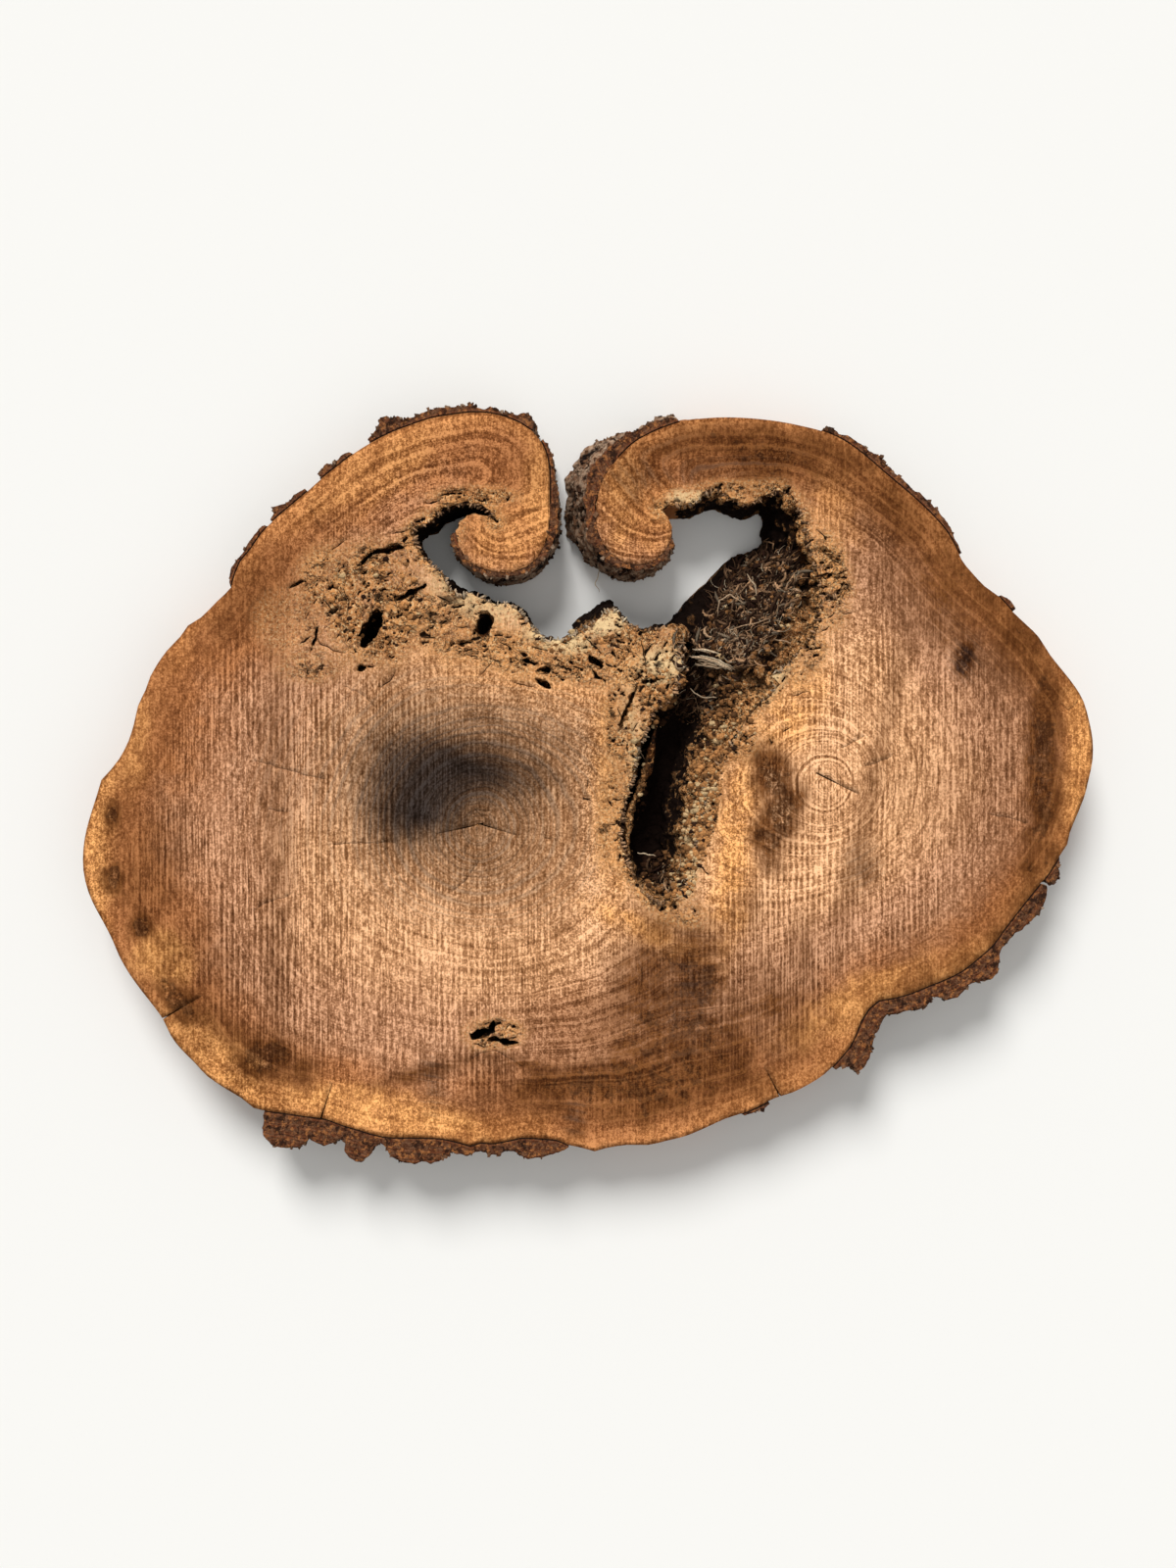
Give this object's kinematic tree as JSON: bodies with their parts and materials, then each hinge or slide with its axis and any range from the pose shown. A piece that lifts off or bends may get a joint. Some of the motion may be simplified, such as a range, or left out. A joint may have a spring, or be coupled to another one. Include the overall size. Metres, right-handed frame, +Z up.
{
  "type": "walnut wood slice",
  "caption": "Thick cross-cut slice of a twin-stemmed walnut trunk with curled lips at a cleft, a decayed hollow and crevice, and patches of bark on its edge.",
  "frame": {"origin": "on the flat sawn back face, at the middle of the slice's length and width", "axes": "+X along the slice's length, +Y towards the cleft at the top of the slice, +Z up through its thickness to the front face"},
  "size_m": [1.2372, 0.9336, 0.076],
  "materials": {
    "walnut_wood": "raw sawn walnut, matte, with saw marks, growth rings and decayed brown zones",
    "walnut_bark": "rugged furrowed bark, matte"
  },
  "bodies": {
    "root": {"wood": "walnut_wood", "bark_lower_left": "walnut_bark", "bark_lower_right": "walnut_bark", "bark_right_flake": "walnut_bark", "bark_bottom_flake": "walnut_bark", "bark_right_bit": "walnut_bark", "bark_top_right": "walnut_bark", "bark_right_lip": "walnut_bark", "bark_left_lip": "walnut_bark", "bark_top_left": "walnut_bark", "bark_left_flake_upper": "walnut_bark", "bark_left_flake_lower": "walnut_bark", "bark_left_sliver": "walnut_bark"}
  },
  "joints": []
}
